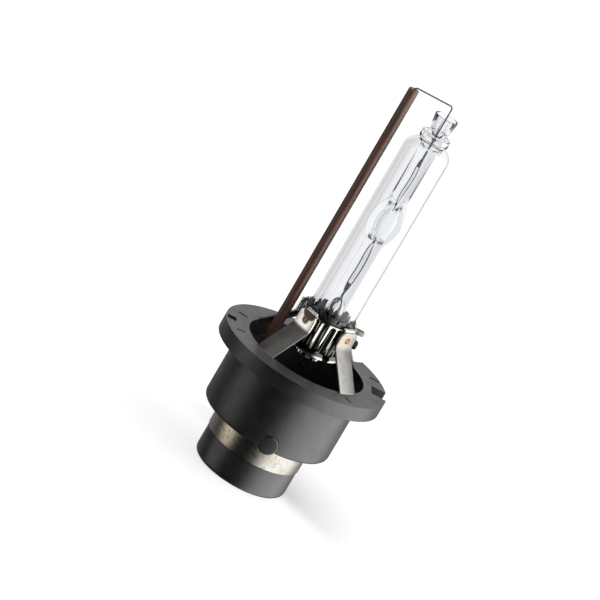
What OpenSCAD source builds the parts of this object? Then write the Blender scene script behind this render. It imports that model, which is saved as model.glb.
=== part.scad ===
// Gas-discharge headlight bulb: a moulded base with a ring contact, four metal legs and a clamp
// band that hold a quartz burner, and a ceramic tube that carries the return lead beside it.
// Origin at the centre of the connector's bottom rim, +Z up the bulb, return tube at -X.

/* [Base] */
// Diameter of the flange that seats in the lamp
flange_d = 32; // [31:0.1:34]
// Height of the flange's front face above the bottom rim
flange_top = 24.8; // [24.6:0.1:25]
// Thickness of the flange
flange_t = 2.8; // [2.4:0.1:3.2]
// Diameter of the body below the flange
body_d = 24.7; // [24.5:0.1:26]
// Height of the body's lower edge above the bottom rim
body_bottom = 10; // [9.8:0.1:10.2]
// Diameter of the open cavity in the base
cavity_d = 22.8; // [22.4:0.1:23]
// Width of the keyway in the flange's edge
keyway_w = 3.8; // [3:0.1:5]

/* [Connector] */
// Outer diameter of the contact ring, a shade over the connector's skirt
connector_d = 18.1; // [17.8:0.1:18.4]
// Height at which the contact ring starts
ring_bottom = 5.5; // [5:0.1:6]
// Diameter of the insulating tower around the centre contact
tower_d = 6.4; // [6:0.1:6.8]
// Diameter of the port at the tower's mouth
port_d = 4; // [3.6:0.1:4.2]
// Diameter of the two bayonet pegs
peg_d = 3.6; // [3.4:0.1:3.6]

/* [Burner] */
// Diameter of the outer quartz bulb
bulb_d = 8.6; // [8.4:0.1:8.8]
// Wall of the outer quartz bulb
bulb_wall = 0.9; // [0.8:0.1:1]
// Height at which the outer bulb's shoulder starts to round
shoulder_z = 67.3; // [67:0.1:67.6]
// Diameter of the inner arc tube's stems
stem_d = 3.4; // [3.2:0.1:3.6]
// Height of the arc's centre above the bottom rim
arc_z = 53.2; // [52.8:0.1:53.6]
// Distance between the electrode tips
arc_gap = 4.6; // [4.2:0.1:5]

/* [Return lead] */
// Diameter of the ceramic tube
ceramic_d = 1.9; // [1.8:0.1:2.1]
// Distance of the ceramic tube from the bulb's axis
ceramic_offset = 7.4; // [7.3:0.1:7.6]
// Height of the ceramic tube's top end
ceramic_top = 76.5; // [76:0.1:77]
// Diameter of the return wire
wire_d = 0.3; // [0.25:0.05:0.4]

/* [Mounting legs] */
// Width of each leg strip
leg_w = 4.1; // [3.6:0.1:4.4]
// Thickness of each leg strip
leg_t = 0.4; // [0.3:0.05:0.45]

/* [Hidden] */
$fn = 96;
eps = 0.05;               // overshoot of a cut past a face

// base
flange_r = flange_d / 2;
body_r = body_d / 2;
cavity_r = cavity_d / 2;
flange_bottom = flange_top - flange_t;
floor_z = 14.5;           // inside floor of the cavity
floor_t = 1.5;
floor_under = floor_z - floor_t;
body_fillet = 0.8;
flange_fillet = 0.25;
keyway_root = 13;         // radius at the bottom of the keyway
dent_depth = 0.35;        // shallow index mark opposite the keyway
ledge_r = 9.9;            // inner radius of the ledge beside the keyway
ledge_top = 22.4;
recess_root = 13.7;       // radius at the bottom of the rear rim recess
recess_from = 45;         // degrees
recess_to = 66;

// connector
conn_r = connector_d / 2;
ring_t = 0.4;
ring_inner = conn_r - ring_t;
skirt_r = conn_r - 0.17;  // the skirt is a shade slimmer than the ring above it
skirt_inner = 7.7;
skirt_edge = 1;           // rounding of the bottom rim
web_z = 9;                // underside of the connector's web
spigot_r = 4;             // spigot that stands up into the cavity
spigot_top = 18;
tower_r = tower_d / 2;
tower_mouth = 0.8;
port_r = port_d / 2;
port_len = 2.3;
contact_z = tower_mouth + port_len;
rivet_head_t = 0.5;
rivet_head_r = 1.7;
rivet_stem_r = 0.8;
peg_r = peg_d / 2;
peg_z = 11.1;
peg_root = 5.5;
peg_end = 12.5;
peg_room = 0.05;          // gap between a peg and its notch in the body

// burner
bulb_r = bulb_d / 2;
bulb_inner = bulb_r - bulb_wall;
bulb_foot = 25.4;         // bottom of the outer bulb's lower neck
bulb_low = 27.4;          // where the lower shoulder reaches full diameter
neck_r = 2.3;
collar_r = 2.75;
collar_z = [69.85, 71.25];
collar_groove = 0.12;
shoulder_r = 2;           // outside radius of the upper shoulder
shoulder_inner_r = 1.4;
stem_r = stem_d / 2;
stem_bore_r = 1.25;
stem_foot = 16;
stem_top = 74.8;
mouth_r = 2.2;            // the upper stem flares out to an open mouth above the collar
mouth_bore_r = 1.85;
stem_open_low = 37.8;     // bore of the lower stem ends here
stem_open_high = 69.4;    // bore of the upper stem starts here
chamber_half = 4.2;       // half length of the arc chamber's outside
chamber_r = 3;
hollow_half = 3.6;        // half length of the arc chamber's inside
hollow_r = 1.35;
electrode_r = 0.15;
electrode_root = 4;       // distance of each electrode's root from the arc's centre
foil_w = 1.6;
foil_t = 0.06;
foil_turn_high = 60;      // turn of each foil about the axis, in degrees
foil_turn_low = 50;
foil_high_end = 66.7;
foil_low_end = 38.6;
lead_r = 0.15;
loop_r = 0.8;             // loop in the lower lead that takes up heat growth
loop_z = 35.2;

// return lead
wire_r = wire_d / 2;
wire_z = ceramic_top + 0.4;
wire_bend = 0.8;
wire_foot = 15;
ceramic_r = ceramic_d / 2;
ceramic_bore_r = 0.35;
strip_t = 0.3;
strip_w = 2;
strip_z = 16;             // the ceramic tube stands on the terminal's top at this height
strip_foot = 11;
strip_x = -sqrt(ring_inner * ring_inner - strip_w * strip_w / 4);   // its edges touch the ring
boss_r = 2.2;             // boss that steadies the ceramic tube
boss_z = [16.6, 21];

// legs and clamp
leg_azimuth = [-135, -45, 135, 45];
tab_r = 5.9;              // outer face of each leg's upright tab
tab_top = 33.6;
tab_corner = 1.1;
leg_root = 11.8;          // outer face of each leg's tail in the housing
leg_foot = 21.6;
ramp_top = 30.47;         // height at which the outer face turns upright
band_inner = 4.5;
band_r = 4.85;
band_z = [27.4, 33.4];
flare_r = 5.25;
flare_z = 26.8;
rib_count = 20;
rib_r = 0.28;
ear_t = 0.35;
ear_gap = 0.5;            // between the two closing ears
ear_reach = 6.9;
ear_w = 2.6;
ear_turn_z = 33;
tooth_count = 14;
tooth_top = 34.6;
tooth_root = 33.6;

// Half section of a disc with rounded outer edges, to be revolved.
module disc_section(r, z0, z1, low, high) {
    translate([0, z0 + low]) square([r, z1 - z0 - low - high]);
    translate([0, z0]) square([r - low, z1 - z0]);
    translate([0, z0 + low]) square([r - high, z1 - z0 - low]);
    if (low > 0) translate([r - low, z0 + low]) circle(low, $fn = 48);
    if (high > 0) translate([r - high, z1 - high]) circle(high, $fn = 48);
}

module tube(r_out, r_in, z0, z1) {
    difference() {
        translate([0, 0, z0]) cylinder(r = r_out, h = z1 - z0);
        translate([0, 0, z0 - eps]) cylinder(r = r_in, h = z1 - z0 + 2 * eps);
    }
}

module rod(r, z0, z1) {
    translate([0, 0, z0]) cylinder(r = r, h = z1 - z0, $fn = 48);
}

// Wedge of the annulus between two azimuths less than 90 degrees apart.
module sector(r_in, r_out, z0, z1, from, to) {
    far = r_out * 1.6;
    intersection() {
        tube(r_out, r_in, z0, z1);
        translate([0, 0, z0])
            linear_extrude(z1 - z0)
                polygon([[0, 0], far * [cos(from), sin(from)], far * [cos(to), sin(to)]]);
    }
}

// Spindle bounded by one arc about the axis: half its length and its greatest radius.
module spindle_section(half, r, flat) {
    arc_r = (half * half + (r - flat) * (r - flat)) / (2 * (r - flat));
    intersection() {
        translate([r - arc_r, 0]) circle(arc_r, $fn = 160);
        translate([0, -half]) square([r + 1, 2 * half]);
    }
}

module at_ceramic() { translate([-ceramic_offset, 0, 0]) children(); }

module peg(side) {
    translate([0, side * peg_root, peg_z]) rotate([-90 * side, 0, 0])
        rotate_extrude() disc_section(peg_r, 0, peg_end - peg_root, 0, 0.25);
}

module peg_notch(side) {
    r = peg_r + peg_room;
    translate([0, side * (conn_r - 1), peg_z]) rotate([-90 * side, 0, 0]) cylinder(r = r, h = 5);
    translate([-r, side > 0 ? conn_r - 1 : -conn_r - 4, body_bottom - 1])
        cube([2 * r, 5, peg_z - body_bottom + 1]);
}

// Side view of a leg: a tail held in the flange, a ramp and an upright tab.
module leg_section() {
    ramp_run = leg_t * (sqrt(2) - 1);
    polygon([[leg_root, leg_foot], [leg_root, ramp_top - (leg_root - tab_r)], [tab_r, ramp_top],
             [tab_r, tab_top], [tab_r - leg_t, tab_top], [tab_r - leg_t, ramp_top - ramp_run],
             [leg_root - leg_t, ramp_top - (leg_root - tab_r) - ramp_run],
             [leg_root - leg_t, leg_foot]]);
}

// Front view of a leg, with round corners at the top of the tab.
module leg_face() {
    half = leg_w / 2;
    translate([-half, leg_foot]) square([leg_w, tab_top - leg_foot - tab_corner]);
    translate([-half + tab_corner, leg_foot]) square([leg_w - 2 * tab_corner, tab_top - leg_foot]);
    for (side = [-1, 1])
        translate([side * (half - tab_corner), tab_top - tab_corner]) circle(tab_corner, $fn = 48);
}

module leg(index) {
    rotate([0, 0, leg_azimuth[index]])
        intersection() {
            translate([0, leg_w / 2, 0]) rotate([90, 0, 0]) linear_extrude(leg_w) leg_section();
            rotate([90, 0, 90]) linear_extrude(leg_root + 1) leg_face();
        }
}

module leg_slots() {
    for (azimuth = leg_azimuth)
        rotate([0, 0, azimuth]) translate([leg_root - leg_t - 1, -leg_w / 2, leg_foot])
            cube([leg_t + 1, leg_w, flange_top - leg_foot + 1]);
}

module terminal() {
    difference() {
        union() {
            translate([strip_x, -strip_w / 2, strip_foot]) cube([strip_t, strip_w, strip_z - strip_foot]);
            translate([strip_x, -strip_w / 2, strip_z - strip_t])
                cube([-strip_x - ceramic_offset + 1, strip_w, strip_t]);
        }
        at_ceramic() rod(wire_r, wire_foot, strip_z + 1);
    }
}

module burner_leads() {
    upper_electrode();
    lower_electrode();
    upper_foil();
    lower_foil();
    return_wire();
    lower_lead();
}

module base_housing() {
    color("#222224")
    difference() {
        union() {
            difference() {
                rotate_extrude() {
                    disc_section(body_r, body_bottom, flange_bottom + eps, body_fillet, 0);
                    disc_section(flange_r, flange_bottom, flange_top, flange_fillet, flange_fillet);
                }
                translate([0, 0, floor_z]) cylinder(r = cavity_r, h = flange_top);
            }
            sector(ledge_r, cavity_r + eps, floor_z - eps, ledge_top, -38, 38);
            sector(9.6, cavity_r + eps, floor_z - eps, 19, 150, 210);
            sector(10.5, cavity_r + eps, 18, 21.4, 156, 204);
            at_ceramic() translate([0, 0, boss_z[0]]) cylinder(r = boss_r, h = boss_z[1] - boss_z[0]);
            translate([-cavity_r - eps, -1.2, boss_z[0]])
                cube([cavity_r - ceramic_offset, 2.4, boss_z[1] - boss_z[0]]);
        }
        translate([0, 0, body_bottom - 1]) cylinder(r = conn_r, h = floor_under - body_bottom + 1);
        rod(spigot_r, floor_under - 1, floor_z + 1);
        at_ceramic() rod(ceramic_r, strip_z, boss_z[1] + 1);
        translate([-9.4, -strip_w / 2, floor_under - 1]) cube([3.2, strip_w, strip_z - floor_under + 1.7]);
        translate([keyway_root, -keyway_w / 2, flange_bottom - 1]) cube([5, keyway_w, flange_t + 2]);
        sector(recess_root, flange_r + 1, flange_bottom - 1, flange_top + 1, recess_from, recess_to);
        translate([-flange_r + 0.3, -1, flange_top - dent_depth]) cube([1.7, 2, 1]);
        leg_slots();
        for (side = [-1, 1]) peg_notch(side);
    }
}

module connector_insulator() {
    color("#28282a")
    difference() {
        union() {
            difference() {
                rotate_extrude() disc_section(skirt_r, 0, ring_bottom, skirt_edge, 0.1);
                translate([0, 0, -1]) cylinder(r = skirt_inner, h = ring_bottom + 2);
            }
            tube(ring_inner, skirt_inner, ring_bottom - eps, web_z + eps);
            translate([0, 0, web_z]) cylinder(r = ring_inner, h = floor_under - web_z);
            rod(spigot_r, floor_under - eps, spigot_top);
            rotate_extrude() disc_section(tower_r, tower_mouth, web_z + eps, 0.3, 0);
        }
        rod(port_r, 0, contact_z);
        rod(rivet_head_r, contact_z - eps, contact_z + rivet_head_t);
        rod(rivet_stem_r, contact_z, 13);
        rod(lead_r, 12, stem_foot);
        rod(stem_r, stem_foot - 1, spigot_top + 1);
        translate([-conn_r, -strip_w / 2, strip_foot]) cube([conn_r + strip_x + strip_t, strip_w, 3]);
        for (side = [-1, 1]) peg(side);
    }
}

module contact_ring() {
    color("#b9b4aa")
    difference() {
        tube(conn_r, ring_inner, ring_bottom, floor_under);
        for (side = [-1, 1]) peg(side);
    }
}

module bayonet_peg_front() { color("#26262a") peg(-1); }

module bayonet_peg_rear() { color("#26262a") peg(1); }

module centre_contact() {
    color("#c9a86a")
    difference() {
        union() {
            rod(rivet_head_r, contact_z, contact_z + rivet_head_t);
            rod(rivet_stem_r, contact_z, 13);
        }
        rod(lead_r, 11, 14);
    }
}

module return_terminal() { color("#a9a9ab") terminal(); }

module potting_plug() {
    color("#3b3630")
    difference() {
        rod(stem_r, stem_foot - 1, stem_foot);
        rod(lead_r, stem_foot - 2, stem_foot + 1);
    }
}

module leg_front_left() { color("#c8c8c4") leg(0); }

module leg_front_right() { color("#c8c8c4") leg(1); }

module leg_rear_left() { color("#c8c8c4") leg(2); }

module leg_rear_right() { color("#c8c8c4") leg(3); }

module clamp_band() {
    color("#d2d2cc")
    difference() {
        union() {
            rotate_extrude()
                polygon([[band_inner, band_z[0]], [flare_r - 0.3, flare_z], [flare_r, flare_z],
                         [band_r, band_z[0] + 0.5], [band_r, band_z[1]], [band_inner, band_z[1]]]);
            for (i = [1 : rib_count - 1])
                rotate([0, 0, i * 360 / rib_count]) translate([band_r, 0, 0])
                    rod(rib_r, band_z[0] + 0.6, band_z[1] - 0.3);
            for (azimuth = leg_azimuth) rotate([0, 0, azimuth]) weld_ear();
            for (side = [-1, 1]) closing_ear(side);
        }
        translate([band_inner - 0.5, 0.05 - ear_gap / 2, flare_z - 1]) cube([2, ear_gap - 0.1, 9]);
    }
}

// Strip that turns over from the band's top edge and lies behind a leg's tab.
module weld_ear() {
    back = tab_r - leg_t;
    front = band_inner + eps;
    turn_r = (back - front) / 2;
    translate([0, ear_w / 2, 0]) rotate([90, 0, 0]) linear_extrude(ear_w) {
        translate([front, 32]) square([ear_t, ear_turn_z - 32]);
        translate([back - ear_t, 30.6]) square([ear_t, ear_turn_z - 30.6]);
        intersection() {
            translate([front + turn_r, ear_turn_z]) difference() {
                circle(turn_r, $fn = 48);
                circle(turn_r - ear_t, $fn = 48);
            }
            translate([front - 1, ear_turn_z - eps]) square([4, 2]);
        }
    }
}

// One of the two plates that close the band, with a long finger and a short lug.
module closing_ear(side) {
    start = band_inner + 0.1;
    y = side > 0 ? ear_gap / 2 : -ear_gap / 2 - ear_t;
    translate([start, y, 29.4]) cube([5.8 - start, ear_t, 3.6]);
    translate([start, y, 32.7]) cube([ear_reach - start, ear_t, 0.8]);
    translate([start, y, 30]) cube([ear_reach - 0.1 - start, ear_t, 1.4]);
}

module grip_ring() {
    color("#6f6f6f")
    difference() {
        tube(band_inner, bulb_r, band_z[0] + 0.2, tooth_top);
        for (i = [0 : tooth_count - 1])
            rotate([0, 0, i * 360 / tooth_count]) translate([bulb_r - 1, 0, tooth_root])
                rotate([90, 0, 90]) linear_extrude(2)
                    polygon([[0, 0], [0.75, 2], [-0.75, 2]]);
    }
}

module outer_bulb() {
    color("#dfe8ee", 0.35)
    rotate_extrude() difference() {
        union() {
            disc_section(neck_r + 0.3, bulb_foot, bulb_low + eps, 0.4, 0);
            disc_section(bulb_r, bulb_low, shoulder_z + shoulder_r, 1.2, shoulder_r);
            square_ring(neck_r, shoulder_z, collar_z[0] + eps);
            disc_section(collar_r, collar_z[0], collar_z[1], 0.25, 0.25);
        }
        translate([-1, bulb_foot - 1]) square([stem_r + 1, 60]);
        disc_section(bulb_inner, bulb_low + bulb_wall, shoulder_z - 0.3 + shoulder_inner_r, 0.8, shoulder_inner_r);
        translate([0, bulb_foot - 1]) square([stem_r, 60]);
        translate([collar_r, (collar_z[0] + collar_z[1]) / 2]) circle(collar_groove, $fn = 24);
    }
}

module square_ring(r, z0, z1) { translate([0, z0]) square([r, z1 - z0]); }

module arc_tube() {
    flare_foot = collar_z[1];
    color("#e6eef4", 0.35)
    difference() {
        rotate_extrude() difference() {
            union() {
                square_ring(stem_r, stem_foot, flare_foot + 0.5);
                polygon([[0, flare_foot], [stem_r, flare_foot], [mouth_r, stem_top], [0, stem_top]]);
                translate([0, arc_z]) spindle_section(chamber_half, chamber_r, stem_r);
            }
            square_ring(stem_bore_r, stem_foot - 1, stem_open_low);
            square_ring(stem_bore_r, stem_open_high, flare_foot + 0.5);
            polygon([[0, flare_foot], [stem_bore_r, flare_foot], [mouth_bore_r, stem_top],
                     [mouth_bore_r, stem_top + 1], [0, stem_top + 1]]);
            translate([0, arc_z]) spindle_section(hollow_half, hollow_r, 0);
        }
        burner_leads();
    }
}

module upper_electrode() {
    color("#5c5c60") rod(electrode_r, arc_z + arc_gap / 2, arc_z + electrode_root);
}

module lower_electrode() {
    color("#5c5c60") rod(electrode_r, arc_z - electrode_root, arc_z - arc_gap / 2);
}

module foil(z0, z1, turn) {
    rotate([0, 0, turn]) translate([-foil_w / 2, -foil_t / 2, z0]) cube([foil_w, foil_t, z1 - z0]);
}

module upper_foil() {
    color("#8c8c90") foil(arc_z + electrode_root, foil_high_end, foil_turn_high);
}

module lower_foil() {
    color("#8c8c90") foil(foil_low_end, arc_z - electrode_root, foil_turn_low);
}

module return_wire() {
    run = ceramic_offset - wire_bend - 0.4;
    color("#4a4a4e") {
        rod(wire_r, foil_high_end, wire_z - wire_bend);
        translate([-wire_bend, 0, wire_z - wire_bend]) rotate([90, 0, 0])
            rotate_extrude(angle = 90) translate([wire_bend, 0]) circle(wire_r, $fn = 48);
        translate([-wire_bend - run, 0, wire_z]) rotate([0, 90, 0]) cylinder(r = wire_r, h = run, $fn = 48);
        translate([-ceramic_offset + 0.4, 0, ceramic_top]) rotate([90, 0, 0]) rotate([0, 0, 90])
            rotate_extrude(angle = 90) translate([0.4, 0]) circle(wire_r, $fn = 48);
        at_ceramic() rod(wire_r, wire_foot, ceramic_top);
    }
}

module lower_lead() {
    color("#55555a") {
        rod(lead_r, loop_z + loop_r, foil_low_end);
        translate([0, 0, loop_z]) rotate([90, 0, 0])
            rotate_extrude() translate([loop_r, 0]) circle(lead_r, $fn = 48);
        rod(lead_r, 11, loop_z - loop_r);
    }
}

module ceramic_tube() {
    color("#5a3a2c")
    at_ceramic() tube(ceramic_r, ceramic_bore_r, strip_z, ceramic_top);
}

base_housing();
connector_insulator();
contact_ring();
bayonet_peg_front();
bayonet_peg_rear();
centre_contact();
return_terminal();
potting_plug();
leg_front_left();
leg_front_right();
leg_rear_left();
leg_rear_right();
clamp_band();
grip_ring();
outer_bulb();
arc_tube();
upper_electrode();
lower_electrode();
upper_foil();
lower_foil();
return_wire();
lower_lead();
ceramic_tube();
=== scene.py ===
# A gas-discharge headlight bulb, built up in the order that the real one is put together: base,
# connector, contacts, legs, clamp, burner and return lead. Then come the studio and the camera.
import math

import bmesh
import bpy
from mathutils import Matrix, Vector


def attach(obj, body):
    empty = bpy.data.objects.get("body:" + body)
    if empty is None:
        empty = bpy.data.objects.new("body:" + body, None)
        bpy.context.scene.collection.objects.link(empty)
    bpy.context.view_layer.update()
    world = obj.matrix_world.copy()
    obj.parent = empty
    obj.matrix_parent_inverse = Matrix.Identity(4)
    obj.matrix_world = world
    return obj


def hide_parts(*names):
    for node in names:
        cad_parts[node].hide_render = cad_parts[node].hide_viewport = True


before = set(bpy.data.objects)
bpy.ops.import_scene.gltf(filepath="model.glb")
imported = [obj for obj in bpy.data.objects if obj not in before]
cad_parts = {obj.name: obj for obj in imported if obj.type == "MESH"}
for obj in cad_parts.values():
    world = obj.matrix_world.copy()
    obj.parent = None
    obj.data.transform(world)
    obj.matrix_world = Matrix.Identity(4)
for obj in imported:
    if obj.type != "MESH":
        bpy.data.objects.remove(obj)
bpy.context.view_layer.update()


# ---------------------------------------------------------------- base housing
# One compression moulding in black glass-filled plastic: the flange that seats in the lamp, the
# body below it, and the open well that the burner stands in. Its edges are crisp but not sharp,
# and its skin has the faint grain of the mould.
MM = 0.001                      # everything below is measured in millimetres
FLANGE_R, FLANGE_LOW, FLANGE_TOP = 16.0, 22.0, 24.8
BODY_R, BODY_LOW = 12.35, 10.0
WELL_R, WELL_FLOOR = 11.4, 14.5
CONNECTOR_R, FLOOR_UNDER = 9.05, 13.0
SPIGOT_R = 4.0
CERAMIC_X, CERAMIC_R = -7.4, 0.95
KEYWAY_ROOT, KEYWAY_W, NOTCH_LOW = 13.0, 3.8, 21.0
RIM_RECESS_R, RIM_RECESS_TURN = 13.7, (45, 66)
SLOT_OUT, SLOT_IN, SLOT_HALF, SLOT_DEEP = 15.7, 14.0, 1.0, 0.35
# each: azimuth, depth, then the nearer and the farther corner of a dash
DASHES = ((4, 0.12, (13.0, 4.2), (14.9, 5.0)), (-53, 0.1, (12.9, -0.3), (14.6, 0.1)),
          (161, 0.12, (12.6, -0.25), (14.3, 0.35)), (-163, 0.12, (12.7, -0.3), (14.4, 0.3)))
LEDGE_R, LEDGE_TOP, LEDGE_TURN = 9.9, 22.4, (-38, 38)
LOW_LEDGE_R, LOW_LEDGE_TOP, LOW_LEDGE_TURN = 9.6, 19.0, (150, 210)
LIP_R, LIP_LOW, LIP_TOP, LIP_TURN = 10.5, 18.0, 21.4, (156, 204)
BOSS_R, BOSS_LOW, BOSS_HIGH = 2.2, 16.6, 21.0
PEG_R, PEG_Z, PEG_ROOM = 1.8, 11.1, 0.05
PEG_HOLE_IN, PEG_HOLE_OUT = 8.2, 14.0
LEG_AZIMUTHS = {"front_left": -135, "front_right": -45, "rear_left": 135, "rear_right": 45}
LEG_W, LEG_T, LEG_ROOT, LEG_FOOT, FIT_ROOM = 4.1, 0.4, 11.8, 21.6, 0.06
SINK, PAST_RIM, PAST_TOP = 0.2, 18.0, 26.0      # how far a joined or cut block runs on


def spun(outline, steps=144, at=(0.0, 0.0)):
    """A closed outline of (radius, height) points, turned right round the bulb's axis."""
    bm = bmesh.new()
    verts = [bm.verts.new((r * MM, 0, z * MM)) for r, z in outline]
    edges = [bm.edges.new(pair) for pair in zip(verts, verts[1:] + verts[:1])]
    bmesh.ops.spin(bm, geom=verts + edges, cent=(0, 0, 0), axis=(0, 0, 1), angle=math.tau,
                   steps=steps, use_merge=True)
    bmesh.ops.remove_doubles(bm, verts=bm.verts, dist=1e-6)
    bmesh.ops.dissolve_degenerate(bm, edges=bm.edges, dist=1e-7)
    bmesh.ops.recalc_face_normals(bm, faces=bm.faces)
    bmesh.ops.translate(bm, verts=bm.verts, vec=(at[0] * MM, at[1] * MM, 0))
    return bm


def turned(bm, degrees, axis="Z"):
    bmesh.ops.rotate(bm, verts=bm.verts, matrix=Matrix.Rotation(math.radians(degrees), 3, axis))
    return bm


def block(low, high, turn=0.0):
    """A box between two corners in millimetres, turned about the bulb's axis by some degrees."""
    bm = bmesh.new()
    size = [b - a for a, b in zip(low, high)]
    middle = [(a + b) / 2 for a, b in zip(low, high)]
    bmesh.ops.create_cube(bm, size=MM)
    bmesh.ops.scale(bm, verts=bm.verts, vec=size)
    bmesh.ops.translate(bm, verts=bm.verts, vec=Vector(middle) * MM)
    return turned(bm, turn)


def bar(radius, length, middle, tilt=0.0):
    """A round bar about its middle point, upright, or tilted about X by some degrees."""
    bm = bmesh.new()
    bmesh.ops.create_cone(bm, cap_ends=True, segments=48, radius1=radius * MM,
                          radius2=radius * MM, depth=length * MM)
    turned(bm, tilt, "X")
    bmesh.ops.translate(bm, verts=bm.verts, vec=Vector(middle) * MM)
    return bm


def round_edges(bm, radius, where=None, segments=3, sharper=30):
    """Rounds the edges that turn more than so many degrees, or those of them that where picks."""
    found = [e for e in bm.edges if len(e.link_faces) == 2
             and abs(e.calc_face_angle(0)) > math.radians(sharper)
             and (where is None or where(*((e.verts[0].co + e.verts[1].co) / 2 / MM)))]
    bmesh.ops.bevel(bm, geom=found, offset=radius * MM, offset_type="OFFSET", segments=segments,
                    profile=0.5, affect="EDGES", clamp_overlap=True, material=-1)
    return bm


def temporary(bm):
    mesh = bpy.data.meshes.new("temporary")
    bm.to_mesh(mesh)
    bm.free()
    thing = bpy.data.objects.new("temporary", mesh)
    bpy.context.scene.collection.objects.link(thing)
    return thing


def carved(bm, cuts, operation="DIFFERENCE"):
    """bm with each of the cuts taken out of it, or joined to it."""
    body = temporary(bm)
    tools = [temporary(cut) for cut in cuts]
    for tool in tools:
        step = body.modifiers.new("carve", "BOOLEAN")
        step.operation = operation
        step.solver = "EXACT"
        step.object = tool
    result = bmesh.new()
    result.from_object(body, bpy.context.evaluated_depsgraph_get())
    for thing in [body, *tools]:
        bpy.data.meshes.remove(thing.data)
    bmesh.ops.remove_doubles(result, verts=result.verts, dist=2e-6)
    bmesh.ops.dissolve_limit(result, angle_limit=math.radians(0.5), verts=result.verts,
                             edges=result.edges)
    return result


def piece(name, bm, material, slot, *nodes, smooth=32):
    """Makes bm a finished piece on the bulb's one body, in place of the CAD nodes named."""
    mesh = bpy.data.meshes.new(name)
    bm.to_mesh(mesh)
    bm.free()
    mesh.materials.append(material)
    mesh.shade_smooth()
    mesh.set_sharp_from_angle(angle=math.radians(smooth))
    made = bpy.data.objects.new(name, mesh)
    bpy.context.scene.collection.objects.link(made)
    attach(made, "root")
    if nodes:
        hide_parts(*nodes)
    return made


def new_material(name, colour, roughness, metallic=0.0, ior=1.5):
    """A material's node tree, its main shader and a point in millimetres on the piece."""
    material = bpy.data.materials.new(name)
    material.use_nodes = True
    tree = material.node_tree
    shader = tree.nodes["Principled BSDF"]
    shader.inputs["Base Color"].default_value = (*colour, 1)
    shader.inputs["Roughness"].default_value = roughness
    shader.inputs["Metallic"].default_value = metallic
    shader.inputs["IOR"].default_value = ior
    place = tree.nodes.new("ShaderNodeTexCoord").outputs["Object"]
    scaled = tree.nodes.new("ShaderNodeVectorMath")
    scaled.operation = "SCALE"
    scaled.inputs["Scale"].default_value = 1 / MM
    tree.links.new(place, scaled.inputs[0])
    return material, tree, shader, scaled.outputs[0]


def noise(tree, point, scale, detail=3.0, stretch=(1, 1, 1), roughness=0.5):
    """A noise of so many lumps a millimetre."""
    mapping = tree.nodes.new("ShaderNodeMapping")
    mapping.inputs["Scale"].default_value = stretch
    tree.links.new(point, mapping.inputs["Vector"])
    node = tree.nodes.new("ShaderNodeTexNoise")
    node.inputs["Scale"].default_value = scale
    node.inputs["Detail"].default_value = detail
    node.inputs["Roughness"].default_value = roughness
    tree.links.new(mapping.outputs[0], node.inputs["Vector"])
    return node.outputs["Fac"]


def spread(tree, value, low, high, to_low, to_high, smooth=False):
    """value, taken from one range to another and held inside it."""
    node = tree.nodes.new("ShaderNodeMapRange")
    node.interpolation_type = "SMOOTHSTEP" if smooth else "LINEAR"
    for socket, number in zip(("From Min", "From Max", "To Min", "To Max"),
                              (low, high, to_low, to_high)):
        node.inputs[socket].default_value = number
    tree.links.new(value, node.inputs["Value"])
    return node.outputs["Result"]


def two_colours(tree, factor, first, second):
    node = tree.nodes.new("ShaderNodeMix")
    node.data_type = "RGBA"
    for socket, value in zip((node.inputs[6], node.inputs[7]), (first, second)):
        if isinstance(value, tuple):
            socket.default_value = (*value, 1)
        else:
            tree.links.new(value, socket)
    tree.links.new(factor, node.inputs["Factor"])
    return node.outputs[2]


def bump(tree, shader, height, depth_mm, strength=1.0):
    node = tree.nodes.new("ShaderNodeBump")
    node.inputs["Distance"].default_value = depth_mm * MM
    node.inputs["Strength"].default_value = strength
    tree.links.new(height, node.inputs["Height"])
    tree.links.new(node.outputs[0], shader.inputs["Normal"])


def moulded_plastic(name, colour, scuffed, roughness):
    material, tree, shader, point = new_material(name, colour, roughness, ior=1.6)
    grain = noise(tree, point, 5.0, 4)
    clouds = noise(tree, point, 0.35, 4)
    scuffs = spread(tree, noise(tree, point, 1.4, 6, (1, 1, 0.3)), 0.56, 0.72, 0, 1)
    tree.links.new(two_colours(tree, scuffs, colour, scuffed), shader.inputs["Base Color"])
    tree.links.new(spread(tree, clouds, 0.3, 0.7, roughness - 0.05, roughness + 0.06),
                   shader.inputs["Roughness"])
    bump(tree, shader, grain, 0.012, 0.5)
    return material


def sector_outline(r_in, r_out, low, high, start, end, steps=24):
    """A curved block: a section spun through part of a turn, from one azimuth to another."""
    bm = bmesh.new()
    corners = [(r_in, low), (r_out, low), (r_out, high), (r_in, high)]
    verts = [bm.verts.new((r * MM, 0, z * MM)) for r, z in corners]
    face = bm.faces.new(verts)
    turned(bm, start)
    bmesh.ops.spin(bm, geom=[face, *face.edges, *face.verts], cent=(0, 0, 0), axis=(0, 0, 1),
                   angle=math.radians(end - start), steps=steps, use_merge=False)
    bmesh.ops.remove_doubles(bm, verts=bm.verts, dist=1e-7)
    inside = [f for f in bm.faces if all(len(e.link_faces) > 2 for e in f.edges)]
    bmesh.ops.delete(bm, geom=inside, context="FACES")
    bmesh.ops.recalc_face_normals(bm, faces=bm.faces)
    return bm


def radial_peg(radius, start, end, side):
    """A round bar that points along -Y or +Y, at the pegs' height."""
    return bar(radius, end - start, (0, side * (start + end) / 2, PEG_Z), 90)


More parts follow.
